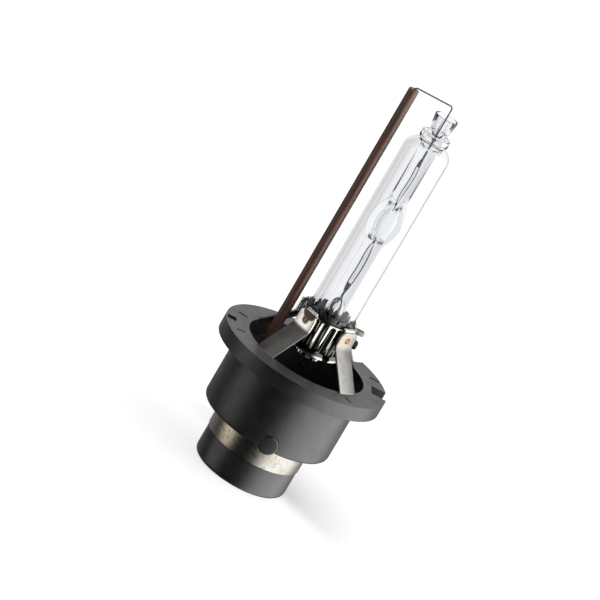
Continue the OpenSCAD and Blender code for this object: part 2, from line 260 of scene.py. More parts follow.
shell = spun([(SPIGOT_R, FLOOR_UNDER), (CONNECTOR_R, FLOOR_UNDER), (CONNECTOR_R, BODY_LOW),
              (BODY_R, BODY_LOW), (BODY_R, FLANGE_LOW), (FLANGE_R, FLANGE_LOW),
              (FLANGE_R, FLANGE_TOP), (WELL_R, FLANGE_TOP), (WELL_R, WELL_FLOOR),
              (SPIGOT_R, WELL_FLOOR)], steps=180)
round_edges(shell, 0.75, lambda x, y, z: z < BODY_LOW + 0.1 and math.hypot(x, y) > 12)
# a tall ledge on the keyway side; a low one, a lip and the ceramic tube's boss on the other
additions = [sector_outline(LEDGE_R, WELL_R + SINK, WELL_FLOOR - SINK, LEDGE_TOP, *LEDGE_TURN),
             sector_outline(LOW_LEDGE_R, WELL_R + SINK, WELL_FLOOR - SINK, LOW_LEDGE_TOP,
                            *LOW_LEDGE_TURN),
             sector_outline(LIP_R, WELL_R + SINK, LIP_LOW, LIP_TOP, *LIP_TURN),
             bar(BOSS_R, BOSS_HIGH - BOSS_LOW, (CERAMIC_X, 0, (BOSS_LOW + BOSS_HIGH) / 2)),
             block((-WELL_R - SINK, -1.2, BOSS_LOW), (CERAMIC_X, 1.2, BOSS_HIGH))]
shell = carved(shell, additions, "UNION")
# the ceramic tube's hole, the keyway, a recess in the rim and a slot in the flange's face
cuts = [bar(CERAMIC_R + FIT_ROOM, 10, (CERAMIC_X, 0, 19)),
        block((KEYWAY_ROOT, -KEYWAY_W / 2, NOTCH_LOW), (PAST_RIM, KEYWAY_W / 2, PAST_TOP)),
        sector_outline(RIM_RECESS_R, PAST_RIM, NOTCH_LOW, PAST_TOP, *RIM_RECESS_TURN, 16),
        block((-SLOT_OUT, -SLOT_HALF, FLANGE_TOP - SLOT_DEEP), (-SLOT_IN, SLOT_HALF, PAST_TOP))]
cuts += [block((LEG_ROOT - LEG_T - 1, -LEG_W / 2 - FIT_ROOM, LEG_FOOT), (LEG_ROOT + 0.04,
         LEG_W / 2 + FIT_ROOM, PAST_TOP), azimuth) for azimuth in LEG_AZIMUTHS.values()]
for side in (-1, 1):
    reach = sorted((side * PEG_HOLE_IN, side * PEG_HOLE_OUT))
    cuts.append(radial_peg(PEG_R + PEG_ROOM, PEG_HOLE_IN, PEG_HOLE_OUT, side))
    cuts.append(block((-PEG_R - PEG_ROOM, reach[0], 8), (PEG_R + PEG_ROOM, reach[1], PEG_Z)))
# four plain shallow dashes in the flange's face
cuts += [block((*nearer, FLANGE_TOP - deep), (*farther, PAST_TOP), azimuth)
         for azimuth, deep, nearer, farther in DASHES]
shell = carved(shell, cuts)
# a ring of edges above the pegs and one below the flange keep the shading of the wall even
for height in (PEG_Z + PEG_R + 0.4, FLANGE_LOW - 0.6):
    everything = [*shell.verts, *shell.edges, *shell.faces]
    bmesh.ops.bisect_plane(shell, geom=everything, plane_co=(0, 0, height * MM),
                           plane_no=(0, 0, 1), dist=1e-7)
round_edges(shell, 0.16, segments=2, sharper=40)
bmesh.ops.remove_doubles(shell, verts=shell.verts, dist=1e-7)
bmesh.ops.dissolve_degenerate(shell, edges=shell.edges, dist=1e-7)
black_plastic = moulded_plastic("black_moulding", (0.013, 0.013, 0.0128),
                                (0.022, 0.022, 0.021), 0.4)
piece("housing_shell", shell, black_plastic, "housing_plastic", "base_housing")


# ------------------------------------------------------- connector and its pegs
# The connector is a second moulding, pushed up into the body from below: an outer skirt, a web
# and a central tower round the high-voltage contact. Two pegs pressed in from the sides lock
# the plug on with a short twist.
RING_LOW, RING_INNER = 5.5, 8.65
SKIRT_R = 8.88
SKIRT_INNER, WEB_UNDER, SPIGOT_TOP = 7.7, 9.0, 18.0
TOWER_R, TOWER_MOUTH, PORT_R, PORT_ROOF = 3.2, 0.8, 2.0, 3.6
STEM_R, LEAD_BORE, BORE_TOP = 1.7, 0.85, 15.0
PEG_ROOT, PEG_END = 5.5, 12.5

connector = spun([(SKIRT_INNER, 0), (SKIRT_R, 0), (SKIRT_R, RING_LOW - 0.06),
                  (RING_INNER, RING_LOW - 0.06), (RING_INNER, FLOOR_UNDER), (SPIGOT_R, FLOOR_UNDER),
                  (SPIGOT_R, SPIGOT_TOP), (STEM_R + 0.02, SPIGOT_TOP), (STEM_R + 0.02, BORE_TOP),
                  (LEAD_BORE, BORE_TOP), (LEAD_BORE, PORT_ROOF), (PORT_R, PORT_ROOF),
                  (PORT_R, TOWER_MOUTH), (TOWER_R, TOWER_MOUTH), (TOWER_R, WEB_UNDER),
                  (SKIRT_INNER, WEB_UNDER)])
round_edges(connector, 0.95, lambda x, y, z: z < 0.1 and math.hypot(x, y) > 8.4, 6)
round_edges(connector, 0.12, segments=2, sharper=40)
skirt_plastic = moulded_plastic("connector_moulding", (0.014, 0.014, 0.0138),
                                (0.024, 0.024, 0.023), 0.37)
piece("connector_skirt", connector, skirt_plastic, "insulator_plastic", "connector_insulator")

peg_plastic = moulded_plastic("peg_moulding", (0.008, 0.008, 0.0078), (0.014, 0.014, 0.0135), 0.3)
for name, side in (("front", -1), ("rear", 1)):
    peg = radial_peg(PEG_R, PEG_ROOT, PEG_END, side)
    round_edges(peg, 0.3, lambda x, y, z: abs(y) > PEG_END - 0.1, 5)
    piece("locking_peg_" + name, peg, peg_plastic, "peg_plastic", "bayonet_peg_" + name)


# ------------------------------------------------------------------ ring contact
# A thin nickel-plated steel sleeve, drawn and rolled, pressed over the connector. Handling and
# the plug's springs leave it with faint hoops, warm stains and a few dull patches.
# the middle of a bright warm patch on the front left of the sleeve, a painted highlight
PAINTED_HIGHLIGHT_AT = (-6.3, -6.5, 7.4)


def distance(tree, point, place):
    """How many millimetres a point is from a place."""
    node = tree.nodes.new("ShaderNodeVectorMath")
    node.operation = "DISTANCE"
    node.inputs[1].default_value = place
    tree.links.new(point, node.inputs[0])
    return node.outputs["Value"]


ring = spun([(RING_INNER, RING_LOW), (CONNECTOR_R - 0.02, RING_LOW),
             (CONNECTOR_R - 0.02, FLOOR_UNDER), (RING_INNER, FLOOR_UNDER)])
round_edges(ring, 0.1, segments=2)
ring_metal, tree, shader, point = new_material("nickelled_sleeve", (0.3, 0.29, 0.27), 0.3, 1.0)
hoops = noise(tree, point, 1.0, 3, (0.3, 0.3, 9))
stains = spread(tree, noise(tree, point, 0.42, 5), 0.44, 0.62, 0, 0.5, True)
dulled = spread(tree, noise(tree, point, 1.9, 6, (1, 1, 0.8)), 0.55, 0.68, 0, 0.7, True)
# a bright warm patch round that point is a painted highlight
patch = spread(tree, distance(tree, point, PAINTED_HIGHLIGHT_AT), 1.0, 3.4, 1, 0, True)
warm = two_colours(tree, stains, (0.3, 0.29, 0.27), (0.26, 0.225, 0.165))
with_painted_highlight = two_colours(tree, patch, warm, (0.52, 0.46, 0.33))
tree.links.new(two_colours(tree, dulled, with_painted_highlight, (0.15, 0.14, 0.11)),
               shader.inputs["Base Color"])
tree.links.new(spread(tree, hoops, 0.3, 0.7, 0.24, 0.4), shader.inputs["Roughness"])
bump(tree, shader, hoops, 0.006, 0.6)
piece("contact_sleeve", ring, ring_metal, "ring_steel", "contact_ring")


# ------------------------------------------------- parts inside the base and port
# The centre contact is a turned brass rivet in the tower, the return terminal a stamped strip
# from the ring to the foot of the ceramic tube, and the potting a plug of cured compound. They
# keep the frame's own shapes, with their edges broken.
def refined(name, node, material, slot, edge):
    bm = bmesh.new()
    bm.from_mesh(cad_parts[node].data)
    bmesh.ops.remove_doubles(bm, verts=bm.verts, dist=1e-6)
    bmesh.ops.dissolve_limit(bm, angle_limit=math.radians(1), verts=bm.verts, edges=bm.edges)
    round_edges(bm, edge, segments=2, sharper=40)
    return piece(name, bm, material, slot, node)


brass, tree, shader, point = new_material("turned_brass", (0.62, 0.47, 0.22), 0.28, 1.0)
rings = noise(tree, point, 2.2, 4)
tree.links.new(two_colours(tree, rings, (0.66, 0.5, 0.24), (0.45, 0.33, 0.16)),
               shader.inputs["Base Color"])
tree.links.new(spread(tree, rings, 0.3, 0.7, 0.2, 0.38), shader.inputs["Roughness"])
refined("contact_rivet", "centre_contact", brass, "contact_metal", 0.06)

strip_metal, tree, shader, point = new_material("stamped_strip", (0.5, 0.5, 0.5), 0.35, 1.0)
mill = noise(tree, point, 1.5, 4, (1, 8, 1))
tree.links.new(two_colours(tree, mill, (0.55, 0.55, 0.54), (0.38, 0.38, 0.37)),
               shader.inputs["Base Color"])
tree.links.new(spread(tree, mill, 0.3, 0.7, 0.28, 0.45), shader.inputs["Roughness"])
refined("terminal_strip", "return_terminal", strip_metal, "terminal_steel", 0.04)

compound, tree, shader, point = new_material("cured_compound", (0.05, 0.042, 0.035), 0.6)
lumps = noise(tree, point, 2.5, 5)
tree.links.new(two_colours(tree, lumps, (0.06, 0.05, 0.042), (0.03, 0.026, 0.022)),
               shader.inputs["Base Color"])
bump(tree, shader, lumps, 0.05)
refined("potting", "potting_plug", compound, "potting", 0.05)


# ------------------------------------------------------------------ mounting legs
# Four strips of spring steel, blanked and bent in one tool. Each has a tail moulded into the
# flange, a ramp, and an upright tab with round corners, spot-welded to the clamp band. The
# weld leaves a small crater in a ring of straw and brown heat colours.
TAB_R, TAB_TOP, RAMP_TOP = 5.9, 33.6, 30.47
WELD_Z, WELD_R, CRATER_R = 32.0, 0.5, 0.17
BEND_OUT, BEND_IN, TAB_CORNER = 0.55, 0.35, 1.15
TAB_FOOT = 30.3, 30.9
RAMP_LOW = RAMP_TOP - (LEG_ROOT - TAB_R)
INSIDE_BEND = LEG_T * (math.sqrt(2) - 1)


def maths(tree, operation, first, second=None):
    """The result of one sum. Each value is a number or another node's output."""
    node = tree.nodes.new("ShaderNodeMath")
    node.operation = operation
    for socket, value in zip(node.inputs, (first, second)):
        if isinstance(value, (int, float)):
            socket.default_value = value
        elif value is not None:
            tree.links.new(value, socket)
    return node.outputs[0]


def split(tree, point):
    """The X, Y and Z of a point."""
    node = tree.nodes.new("ShaderNodeSeparateXYZ")
    tree.links.new(point, node.inputs[0])
    return node.outputs


# heat colours are set by how far a point is from the nearest weld, and a painted dark reflection
# in one corner by how far it is from the top of the front left tab; the tabs are lighter than the
# ramps, and those of the left legs much lighter, as a painted highlight
leg_metal, tree, shader, point = new_material("leg_strip", (0.3, 0.295, 0.28), 0.36, 1.0)
rolled = noise(tree, point, 0.9, 5, (1, 1, 3))
blotches = spread(tree, noise(tree, point, 0.5, 4), 0.4, 0.65, 0, 1, True)
folded = tree.nodes.new("ShaderNodeVectorMath")
folded.operation = "ABSOLUTE"
tree.links.new(point, folded.inputs[0])
weld_out = TAB_R * math.cos(math.radians(45))
reach = distance(tree, folded.outputs[0], (weld_out, weld_out, WELD_Z))
clean = two_colours(tree, blotches, (0.2, 0.196, 0.185), (0.165, 0.161, 0.153))
axes = split(tree, point)
# the tabs get a painted highlight: near white on the left legs, a little lighter on the right
painted_tab_highlight = two_colours(tree, spread(tree, axes["X"], -3, 3, 0, 1), (0.93, 0.91, 0.86),
                     (0.25, 0.235, 0.205))
clean = two_colours(tree, spread(tree, axes["Z"], *TAB_FOOT, 0, 1, True), clean, painted_tab_highlight)
straw = two_colours(tree, spread(tree, reach, 0.6, 1.1, 0.7, 0, True), clean,
                    (0.34, 0.25, 0.14))
# a painted dark reflection on the top corner of the front left tab
painted_dark_corner_reach = distance(tree, point, (-weld_out + 0.15, -weld_out - 0.15, TAB_TOP + 0.2))
straw = two_colours(tree, spread(tree, painted_dark_corner_reach, 1.45, 1.85, 1, 0, True), straw,
                    (0.05, 0.05, 0.042))
burnt = two_colours(tree, spread(tree, reach, 0.5, 0.8, 1, 0, True), straw, (0.17, 0.075, 0.02))
tree.links.new(two_colours(tree, spread(tree, reach, 0.2, 0.34, 1, 0, True), burnt,
                           (0.24, 0.21, 0.17)), shader.inputs["Base Color"])
smoother = maths(tree, "SUBTRACT", spread(tree, rolled, 0.3, 0.7, 0.3, 0.42),
                 spread(tree, axes["Z"], *TAB_FOOT, 0, 0.13))
tree.links.new(smoother, shader.inputs["Roughness"])
bump(tree, shader, rolled, 0.008, 0.5)


def pushed(corners, along):
    """A flat outline of points in millimetres, pushed along a vector into a solid."""
    bm = bmesh.new()
    face = bm.faces.new([bm.verts.new(Vector(corner) * MM) for corner in corners])
    grown = bmesh.ops.extrude_face_region(bm, geom=[face])
    moved = [v for v in grown["geom"] if isinstance(v, bmesh.types.BMVert)]
    bmesh.ops.translate(bm, verts=moved, vec=Vector(along) * MM)
    bmesh.ops.recalc_face_normals(bm, faces=bm.faces)
    return bm


def absorb(bm, other):
    """Adds the faces of other to bm, and frees other."""
    spare = bpy.data.meshes.new("spare")
    other.to_mesh(spare)
    other.free()
    bm.from_mesh(spare)
    bpy.data.meshes.remove(spare)


def leg_strip(azimuth):
    outline = [(LEG_ROOT, LEG_FOOT), (LEG_ROOT, RAMP_LOW), (TAB_R, RAMP_TOP), (TAB_R, TAB_TOP),
               (TAB_R - LEG_T, TAB_TOP), (TAB_R - LEG_T, RAMP_TOP - INSIDE_BEND),
               (LEG_ROOT - LEG_T, RAMP_LOW - INSIDE_BEND), (LEG_ROOT - LEG_T, LEG_FOOT)]
    bm = pushed([(r, -LEG_W / 2, z) for r, z in outline], (0, LEG_W, 0))

    def bend(face_r, other_r, low):
        return lambda x, y, z: (abs(y) < 0.01 and low < z < 31 and x > LEG_T
                                and min(abs(x - face_r), abs(x - other_r)) < 0.05)

    round_edges(bm, BEND_OUT, bend(TAB_R, LEG_ROOT, 24), 5, 20)
    round_edges(bm, BEND_IN, bend(TAB_R - LEG_T, LEG_ROOT - LEG_T, 23), 5, 20)
    round_edges(bm, TAB_CORNER, lambda x, y, z: z > TAB_TOP - 0.01 and abs(y) > 2, 8)
    round_edges(bm, 0.07, segments=2, sharper=50)
    # the weld: a raised rim, and a small bead in the middle of its crater
    rim = spun([(WELD_R - 0.1, -0.05), (WELD_R, -0.05), (WELD_R, 0.03), (WELD_R - 0.05, 0.05),
                (WELD_R - 0.1, 0.03)], 32)
    bead = bmesh.new()
    bmesh.ops.create_uvsphere(bead, u_segments=24, v_segments=8, radius=MM)
    bmesh.ops.scale(bead, verts=bead.verts, vec=(CRATER_R, CRATER_R, 0.07))
    for mark in (rim, bead):
        turned(mark, 90, "Y")
        bmesh.ops.translate(mark, verts=mark.verts, vec=(TAB_R * MM, 0, WELD_Z * MM))
        absorb(bm, mark)
    return turned(bm, azimuth)


for name, azimuth in LEG_AZIMUTHS.items():
    piece("mounting_leg_" + name, leg_strip(azimuth), leg_metal, "leg_steel", "leg_" + name)


# -------------------------------------------------------------------- clamp band
# A band of bright stainless sheet, corrugated to grip, closed round the glass. Its foot flares
# out, four ears turn over from its top edge onto the legs' tabs, and two plates at the keyway
# side are pinched together to close it.
BAND_IN, BAND_R, BAND_LOW, BAND_TOP = 4.5, 4.85, 27.4, 33.4
FLARE_R, FLARE_Z = 5.25, 26.8
RIB_COUNT, RIB_OUT, VALLEY_IN = 20, 0.25, 0.08
EAR_T, EAR_W, EAR_TURN_Z = 0.35, 2.6, 33.5
EAR_ROOT, EAR_LOW = 32.0, 30.6
PLATE_GAP, PLATE_LOW, PLATE_TOP, PLATE_OUT = 0.5, 29.4, 33.5, 5.8
LUG_LOW, LUG_HIGH, LUG_OUT, FINGER_LOW, FINGER_OUT = 30.0, 31.4, 6.8, 32.7, 6.9
SLIT_HALF = 0.2


def clamp():
    """The corrugated band, as a tube whose wall waves in and out once a rib."""
    bm = bmesh.new()
    count = RIB_COUNT * 16
    outline = [(BAND_IN + 0.14, BAND_LOW), (FLARE_R - 0.35, FLARE_Z + 0.1),
               (FLARE_R - 0.2, FLARE_Z), (FLARE_R, FLARE_Z + 0.05), (FLARE_R, FLARE_Z + 0.28),
               (BAND_R + 0.08, BAND_LOW + 0.3), (BAND_R, BAND_LOW + 0.7), (BAND_R, 29.4),
               (BAND_R, 31.4), (BAND_R, BAND_TOP - 0.5), (BAND_R + 0.1, BAND_TOP - 0.1),
               (BAND_R + 0.06, BAND_TOP), (BAND_R - 0.2, BAND_TOP),
               (BAND_IN + 0.02, BAND_TOP - 0.1), (BAND_IN + 0.02, BAND_LOW + 0.5)]
    verts = [bm.verts.new((r * MM, 0, z * MM)) for r, z in outline]
    edges = [bm.edges.new(pair) for pair in zip(verts, verts[1:] + verts[:1])]
    bmesh.ops.spin(bm, geom=verts + edges, cent=(0, 0, 0), axis=(0, 0, 1), angle=math.tau,
                   steps=count, use_merge=True)
    for v in bm.verts:
        z = v.co.z / MM
        out = math.hypot(v.co.x, v.co.y) / MM
        wave = 0.5 + 0.5 * math.cos(math.atan2(v.co.y, v.co.x) * RIB_COUNT)
        held = (min(1, max(0, (z - BAND_LOW - 0.3) / 0.5))
                * min(1, max(0, (BAND_TOP - 0.15 - z) / 0.4)))
        if out > BAND_IN + 0.2:
            v.co.xy *= (out + (RIB_OUT * wave - VALLEY_IN * (1 - wave)) * held) / out
    bmesh.ops.recalc_face_normals(bm, faces=bm.faces)
    return bm


def weld_ear(azimuth):
    """A strip that rises from the band, turns over and lies behind a leg's tab."""
    back, front = TAB_R - LEG_T, BAND_IN + 0.05
    turn = (back - front) / 2
    centre = front + turn
    arc = [math.radians(a) for a in range(0, 181, 15)]
    outside = [(centre + turn * math.cos(a), EAR_TURN_Z + turn * math.sin(a)) for a in arc]
    inner = turn - EAR_T
    inside = [(centre + inner * math.cos(a), EAR_TURN_Z + inner * math.sin(a)) for a in arc]
    outline = [(back, EAR_LOW), *outside, (front, EAR_ROOT), (front + EAR_T, EAR_ROOT),
               *reversed(inside), (back - EAR_T, EAR_LOW)]
    bm = pushed([(r, -EAR_W / 2, z) for r, z in outline], (0, EAR_W, 0))
    round_edges(bm, 0.15, segments=3, sharper=50)
    return turned(bm, azimuth)


def closing_plate(side):
    """One pinched plate, with a long finger above and a square lug below."""
    near, far = sorted((side * PLATE_GAP / 2, side * (PLATE_GAP / 2 + EAR_T)))
    start = BAND_IN + 0.15
    outline = [(start, PLATE_LOW), (PLATE_OUT, PLATE_LOW), (PLATE_OUT, LUG_LOW),
               (LUG_OUT, LUG_LOW), (LUG_OUT, LUG_HIGH), (PLATE_OUT, LUG_HIGH),
               (PLATE_OUT, FINGER_LOW), (FINGER_OUT, FINGER_LOW), (FINGER_OUT, PLATE_TOP),
               (start, PLATE_TOP)]
    bm = pushed([(x, near, z) for x, z in outline], (0, far - near, 0))
    round_edges(bm, 0.3, lambda x, y, z: x > 6.5 and abs(y) - PLATE_GAP / 2 > 0.1, 3)
    round_edges(bm, 0.06, segments=2, sharper=50)
    return bm


def off_axis(tree, point):
    """How many millimetres a point is from the bulb's axis."""
    flat = tree.nodes.new("ShaderNodeVectorMath")
    flat.operation = "MULTIPLY"
    flat.inputs[1].default_value = (1, 1, 0)
    tree.links.new(point, flat.inputs[0])
    return distance(tree, flat.outputs[0], (0, 0, 0))


# the crests are polished and the valleys painted dark as shade; the foot is dark but for its rim
bright_sheet, tree, shader, point = new_material("bright_sheet", (0.6, 0.595, 0.57), 0.14, 1.0)
smears = noise(tree, point, 0.8, 5)
scratches = noise(tree, point, 1.6, 4, (3, 3, 0.4))
out = off_axis(tree, point)
crest = spread(tree, out, BAND_R - 0.02, BAND_R + 0.13, 0, 1, True)
axes = split(tree, point)
above_flare = spread(tree, axes["Z"], BAND_LOW + 0.5, BAND_LOW + 1.1, 0.06, 1, True)
rim = spread(tree, out, FLARE_R - 0.1, FLARE_R - 0.03, 0, 1)
crest = maths(tree, "MAXIMUM", maths(tree, "MULTIPLY", crest, above_flare), rim)
polished = two_colours(tree, spread(tree, smears, 0.4, 0.65, 0, 1, True), (0.62, 0.615, 0.59),
                       (0.5, 0.48, 0.43))
# the plates are near black below the top of their lugs and a dull grey above
plate_tone = two_colours(tree, spread(tree, axes["Z"], LUG_HIGH + 0.4, LUG_HIGH + 0.8, 0, 1),
                   (0.012, 0.012, 0.01), (0.16, 0.155, 0.14))
# the valleys get a painted dark shade and the crests the polished colour
sheet = two_colours(tree, crest, (0.045, 0.042, 0.03), polished)
plates_only = spread(tree, axes["X"], FLARE_R + 0.05, FLARE_R + 0.15, 0, 1)
tree.links.new(two_colours(tree, plates_only, sheet, plate_tone), shader.inputs["Base Color"])
tree.links.new(spread(tree, scratches, 0.3, 0.7, 0.1, 0.22), shader.inputs["Roughness"])
bump(tree, shader, scratches, 0.004, 0.5)
ears = [weld_ear(azimuth) for azimuth in LEG_AZIMUTHS.values()]
plates = [closing_plate(side) for side in (-1, 1)]
band = carved(clamp(), [*ears, *plates], "UNION")
band = carved(band, [block((BAND_IN - 0.5, -SLIT_HALF, 26), (BAND_IN + 1.3, SLIT_HALF, 35))])
# close the pinholes and turn the slivers that the cuts leave
bmesh.ops.remove_doubles(band, verts=band.verts, dist=3e-6)
bmesh.ops.triangulate(band, faces=band.faces, quad_method="BEAUTY", ngon_method="BEAUTY")
bmesh.ops.dissolve_degenerate(band, edges=band.edges, dist=1e-6)
bmesh.ops.holes_fill(band, edges=[edge for edge in band.edges if edge.is_boundary], sides=4)
for sliver in [face for face in band.faces if face.calc_area() < 1e-12]:
    if sliver.is_valid:
        bmesh.utils.edge_rotate(max(sliver.edges, key=lambda edge: edge.calc_length()))
piece("clamp", band, bright_sheet, "clamp_steel", "clamp_band", smooth=40)


# --------------------------------------------------------------------- grip ring
# A liner of dull spring sheet between the band and the glass. Its top edge is cut into teeth
# that press on the quartz, so that the hard band never touches it.
TOOTH_COUNT, TOOTH_ROOT, TOOTH_TOP, BULB_R = 14, 33.6, 34.6, 4.3
NOTCH_HALF, NOTCH_TALL, NOTCH_IN, NOTCH_LONG = 0.75, 2.0, 3.5, 2.0

grip = spun([(BULB_R + 0.02, BAND_LOW + 0.2), (BAND_IN, BAND_LOW + 0.2), (BAND_IN, TOOTH_TOP),
             (BULB_R + 0.02, TOOTH_TOP)], 140)
notch = [(NOTCH_IN, 0, TOOTH_ROOT), (NOTCH_IN, NOTCH_HALF, TOOTH_ROOT + NOTCH_TALL),
         (NOTCH_IN, -NOTCH_HALF, TOOTH_ROOT + NOTCH_TALL)]
grip = carved(grip, [turned(pushed(notch, (NOTCH_LONG, 0, 0)), 360 * i / TOOTH_COUNT)
                     for i in range(TOOTH_COUNT)])
round_edges(grip, 0.04, segments=1, sharper=50)
dull_sheet, tree, shader, point = new_material("dull_spring_sheet", (0.1, 0.1, 0.1), 0.4, 1.0)
oxide = noise(tree, point, 1.8, 5)
tree.links.new(two_colours(tree, oxide, (0.13, 0.13, 0.13), (0.035, 0.035, 0.035)),
               shader.inputs["Base Color"])
tree.links.new(spread(tree, oxide, 0.3, 0.7, 0.3, 0.5), shader.inputs["Roughness"])
piece("toothed_liner", grip, dull_sheet, "grip_steel", "grip_ring")


# -------------------------------------------------------------------- outer bulb
# The outer bulb is a drawn quartz tube, doped against ultraviolet light. Both ends are melted
# down onto the inner tube: the top has a round shoulder, a neck and a thick collar, and the
# flame leaves the wall very slightly wavy.
BULB_IN, BULB_FOOT, BULB_LOW, SHOULDER_TOP = 3.4, 25.4, 27.4, 69.3
FOOT_R, INSIDE_LOW, INSIDE_TOP = 2.6, 28.3, 68.4
NECK_R, COLLAR_R, COLLAR_LOW, COLLAR_TOP = 2.3, 2.75, 69.85, 71.25
SEAL_GAP = 0.03


def quartz(name, tint, ripple, ior):
    material, tree, shader, point = new_material(name, tint, 0.0, ior=ior)
    shader.inputs["Transmission Weight"].default_value = 1.0
    bump(tree, shader, noise(tree, point, 0.35, 2, (1, 1, 0.25)), ripple, 1.0)
    return material, tree, shader, point


envelope = spun([(STEM_R + SEAL_GAP, BULB_FOOT), (FOOT_R, BULB_FOOT), (FOOT_R, BULB_LOW),
                 (BULB_R, BULB_LOW), (BULB_R, SHOULDER_TOP), (NECK_R, SHOULDER_TOP),
                 (NECK_R, COLLAR_LOW), (COLLAR_R, COLLAR_LOW), (COLLAR_R, COLLAR_TOP),
                 (STEM_R + SEAL_GAP, COLLAR_TOP), (STEM_R + SEAL_GAP, INSIDE_TOP),
                 (BULB_IN, INSIDE_TOP), (BULB_IN, INSIDE_LOW), (STEM_R + SEAL_GAP, INSIDE_LOW)],
                128)


def ring_edge(radius, height):
    return lambda x, y, z: abs(math.hypot(x, y) - radius) < 0.05 and abs(z - height) < 0.05


for radius, height, rounding, segments in (
        (BULB_R, SHOULDER_TOP, 1.95, 12), (BULB_IN, INSIDE_TOP, 1.4, 10),
        (BULB_R, BULB_LOW, 1.2, 8), (BULB_IN, INSIDE_LOW, 0.8, 6),
        (COLLAR_R, COLLAR_LOW, 0.2, 4), (COLLAR_R, COLLAR_TOP, 0.25, 4)):
    round_edges(envelope, rounding, ring_edge(radius, height), segments)
clear_quartz = quartz("drawn_quartz", (0.985, 0.99, 1.0), 0.02, 1.42)[0]
piece("quartz_envelope", envelope, clear_quartz, "outer_quartz", "outer_bulb", smooth=50)


# ---------------------------------------------------------------------- arc tube
# The inner tube is worked on a lathe: a thick-walled arc chamber blown in the middle, shrunk
# onto the foils above and below it, and left open at both far ends. The shrinking puckers the
# quartz into small creases where the chamber meets each stem.
ARC_Z, ARC_GAP, STEM_FOOT, STEM_TOP = 53.2, 4.6, 16.0, 74.8
STEM_BORE, OPEN_LOW, OPEN_TAPER, BORE_ROUND = 1.25, 37.8, 2.6, 0.9
CHAMBER_HALF, CHAMBER_R, HOLLOW_HALF, HOLLOW_R = 4.2, 2.95, 3.6, 1.35
CREASES, UPPER_TURN, CREASE_DEEP = 7, 1.1, 1.05
MOUTH_R, MOUTH_BORE, BORE_END = 2.2, 1.85, 0.7
# the second colour is a grey shade painted into the arc tube's creases
WORKED, PAINTED_CREASE_SHADE = (0.965, 0.972, 0.985), (0.16, 0.16, 0.18)


def bulge(half, radius, flat, count):
    """Points on an arc of a circle that bulges from flat out to radius, from low to high."""
    arc_r = (half ** 2 + (radius - flat) ** 2) / (2 * (radius - flat))
    reach = math.asin(half / arc_r)
    angles = [reach * (2 * i / count - 1) for i in range(count + 1)]
    return [(radius - arc_r + arc_r * math.cos(a), ARC_Z + arc_r * math.sin(a)) for a in angles]


outside = [(STEM_BORE, STEM_FOOT), (STEM_R, STEM_FOOT), *bulge(CHAMBER_HALF, CHAMBER_R, STEM_R, 28),
           (STEM_R, COLLAR_TOP), (MOUTH_R, STEM_TOP), (MOUTH_BORE, STEM_TOP),
           (STEM_BORE, COLLAR_TOP + 0.6), (BORE_END, COLLAR_TOP - 0.2), (0.25, COLLAR_TOP - 1.2),
           (0, COLLAR_TOP - 1.4)]
inner_tube = spun(outside + [(0, OPEN_LOW), (0.5, OPEN_LOW - 0.5),
                            (STEM_BORE, OPEN_LOW - OPEN_TAPER)], 96)
for radius, height in ((MOUTH_R, STEM_TOP), (MOUTH_BORE, STEM_TOP)):
    round_edges(inner_tube, 0.12, ring_edge(radius, height), 2)
for radius, height in ((STEM_R, COLLAR_TOP), (STEM_BORE, COLLAR_TOP + 0.6),
                       (BORE_END, COLLAR_TOP - 0.2), (STEM_BORE, OPEN_LOW - OPEN_TAPER)):
    round_edges(inner_tube, BORE_ROUND, ring_edge(radius, height), 4, 5)
hollow = spun([(0, ARC_Z - HOLLOW_HALF), *bulge(HOLLOW_HALF, HOLLOW_R, 0.02, 28),
               (0, ARC_Z + HOLLOW_HALF)], 96)
for v in hollow.verts:
    radius = math.hypot(v.co.x, v.co.y) / MM
    near_end = max(0.0, abs(v.co.z / MM - ARC_Z) / HOLLOW_HALF - 0.5) / 0.5
    turn = UPPER_TURN if v.co.z / MM > ARC_Z else 0
    pucker = math.cos(math.atan2(v.co.y, v.co.x) * CREASES + turn)
    if radius > 0.01:
        v.co.xy *= (radius + near_end * (CREASE_DEEP * max(0, pucker) ** 4 - 0.05)) / radius
bmesh.ops.reverse_faces(hollow, faces=hollow.faces)
absorb(inner_tube, hollow)
worked_quartz, tree, shader, point = quartz("worked_quartz", WORKED, 0.03, 1.32)
# the creases are painted grey as shade: the same star in the material, at both ends of the hollow
# only
axes = split(tree, point)
phase = maths(tree, "MULTIPLY", maths(tree, "GREATER_THAN", axes["Z"], ARC_Z), UPPER_TURN)
rays = maths(tree, "MULTIPLY", maths(tree, "ARCTAN2", axes["Y"], axes["X"]), CREASES)
rays = maths(tree, "COSINE", maths(tree, "ADD", rays, phase))
from_middle = maths(tree, "ABSOLUTE", maths(tree, "SUBTRACT", axes["Z"], ARC_Z))
creased = maths(tree, "MULTIPLY", spread(tree, rays, 0.78, 0.97, 0, 1, True),
                spread(tree, from_middle, 2.5, 3.3, 0, 1, True))
creased = maths(tree, "MULTIPLY", creased, spread(tree, off_axis(tree, point), 1.4, 1.6, 1, 0))
tree.links.new(two_colours(tree, creased, WORKED, PAINTED_CREASE_SHADE), shader.inputs["Base Color"])
piece("inner_tube", inner_tube, worked_quartz, "inner_quartz", "arc_tube", smooth=50)


